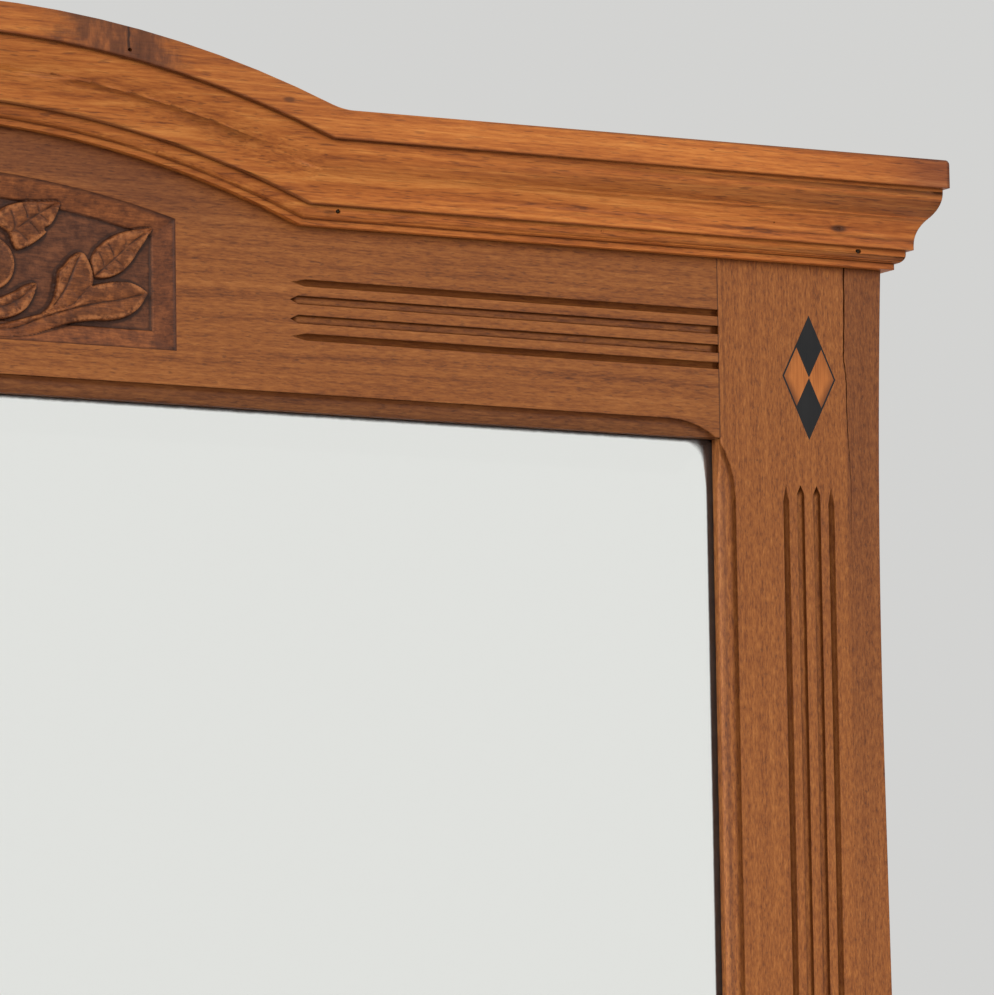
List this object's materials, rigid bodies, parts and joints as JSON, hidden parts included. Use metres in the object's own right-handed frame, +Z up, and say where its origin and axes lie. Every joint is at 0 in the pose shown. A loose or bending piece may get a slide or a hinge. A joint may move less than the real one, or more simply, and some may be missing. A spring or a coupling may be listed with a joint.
{
  "type": "wall mirror",
  "caption": "Wall mirror with bevelled glass in a reeded hardwood frame, with waisted stiles, diamond inlays, a carved fruit panel, an arched cornice and hanging rings.",
  "frame": {"origin": "on the floor plane under the middle of the frame, halfway between the front of the cornice and the back of the hangers", "axes": "+Z up, along the height; -Y towards the viewer and +Y towards the wall; +X to the viewer's right"},
  "size_m": [1.255, 0.06, 1.306],
  "materials": {
    "wood_frame": "waxed",
    "wood_cornice": "waxed",
    "wood_light": "waxed",
    "ebony": "polished",
    "pine": "raw",
    "mirror": "silvered",
    "brass": "satin",
    "steel": "dull"
  },
  "bodies": {
    "frame": {"top_rail": "wood_frame", "bottom_rail": "wood_frame", "right_stile": "wood_frame", "left_stile": "wood_frame", "cornice_front": "wood_cornice", "cornice_return_right": "wood_cornice", "cornice_return_left": "wood_cornice", "cornice_nails": "steel", "inlay_right_top": "ebony", "inlay_right_bottom": "ebony", "inlay_right_inner": "wood_light", "inlay_right_outer": "wood_light", "inlay_right_line": "ebony", "inlay_left_top": "ebony", "inlay_left_bottom": "ebony", "inlay_left_inner": "wood_light", "inlay_left_outer": "wood_light", "inlay_left_line": "ebony", "mirror_glass": "mirror", "glass_blocks": "pine", "backboard_1": "pine", "backboard_2": "pine", "backboard_3": "pine", "backboard_4": "pine", "backboard_5": "pine", "backboard_nails": "steel", "hanger_strap_right": "brass", "hanger_strap_left": "brass", "hanger_screws": "brass"},
    "ring_right": {"hanger_ring_right": "brass"},
    "ring_left": {"hanger_ring_left": "brass"}
  },
  "joints": [
    {"name": "right_ring_swing", "type": "hinge", "parent": "frame", "child": "ring_right", "pos_m": [0.54675, 0.027, 1.01], "axis": [1, 0, 0], "range_deg": [0, 180]},
    {"name": "left_ring_swing", "type": "hinge", "parent": "frame", "child": "ring_left", "pos_m": [-0.54675, 0.027, 1.01], "axis": [1, 0, 0], "range_deg": [0, 180]}
  ]
}
